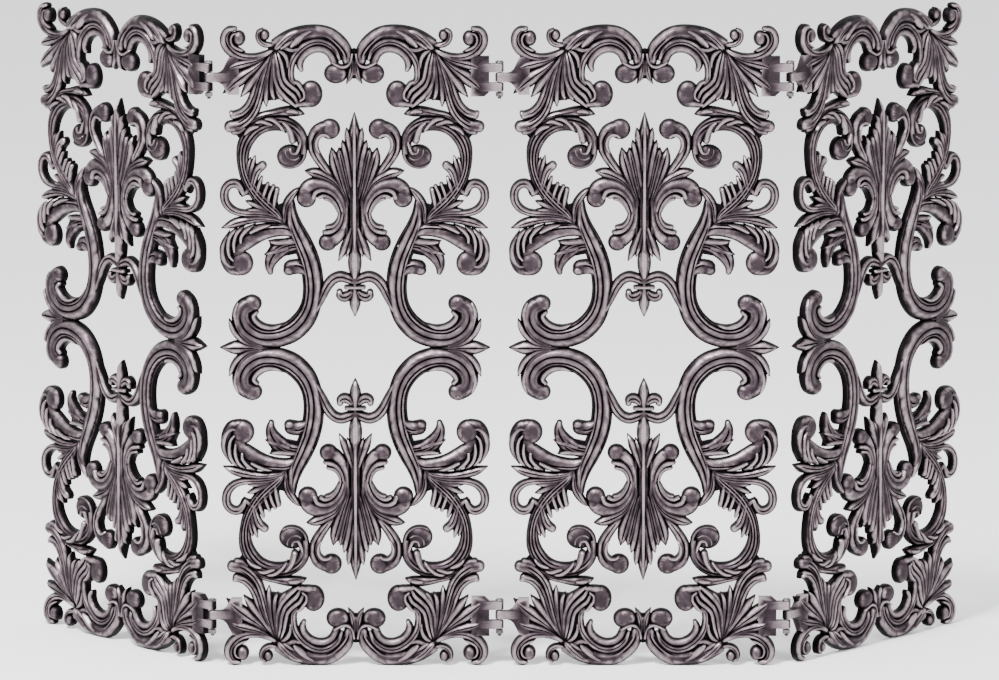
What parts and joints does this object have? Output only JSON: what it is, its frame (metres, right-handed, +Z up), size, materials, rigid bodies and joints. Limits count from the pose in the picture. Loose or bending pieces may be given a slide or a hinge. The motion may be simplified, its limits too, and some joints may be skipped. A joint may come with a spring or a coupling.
{
  "type": "folding fireplace screen",
  "caption": "Folding openwork fireplace screen of cast scroll-and-leaf panels, hinged edge to edge on screw-pinned lugs.",
  "frame": {"origin": "on the floor, at the middle of the standing screen's box", "axes": "+X along the two middle panels towards the viewer's right, +Y back towards the fire, +Z up; the front faces -Y"},
  "size_m": [1.1636, 0.269, 0.7934],
  "materials": {
    "antique_casting": "antique pewter-bronze finish, near black in the hollows and rubbed lighter on the ridges",
    "hinge_hardware": "darkened steel with rubbed slots and corners"
  },
  "bodies": {
    "left_wing_panel": {"left_wing_casting": "antique_casting", "left_upper_hinge_screw": "hinge_hardware", "left_upper_hinge_nut": "hinge_hardware", "left_lower_hinge_screw": "hinge_hardware", "left_lower_hinge_nut": "hinge_hardware"},
    "centre_left_panel": {"centre_left_casting": "antique_casting", "middle_upper_hinge_screw": "hinge_hardware", "middle_upper_hinge_nut": "hinge_hardware", "middle_lower_hinge_screw": "hinge_hardware", "middle_lower_hinge_nut": "hinge_hardware"},
    "centre_right_panel": {"centre_right_casting": "antique_casting", "right_upper_hinge_screw": "hinge_hardware", "right_upper_hinge_nut": "hinge_hardware", "right_lower_hinge_screw": "hinge_hardware", "right_lower_hinge_nut": "hinge_hardware"},
    "right_wing_panel": {"right_wing_casting": "antique_casting"}
  },
  "joints": [
    {"name": "left_hinge", "type": "hinge", "parent": "centre_left_panel", "child": "left_wing_panel", "pos_m": [-0.353, -0.1278, 0.396], "axis": [0, 0, 1], "range_deg": [-66, 79]},
    {"name": "middle_hinge", "type": "hinge", "parent": "centre_left_panel", "child": "centre_right_panel", "pos_m": [0, -0.1278, 0.396], "axis": [0, 0, 1], "range_deg": [-115, 30]},
    {"name": "right_hinge", "type": "hinge", "parent": "centre_right_panel", "child": "right_wing_panel", "pos_m": [0.353, -0.1278, 0.396], "axis": [0, 0, 1], "range_deg": [-79, 66]}
  ]
}
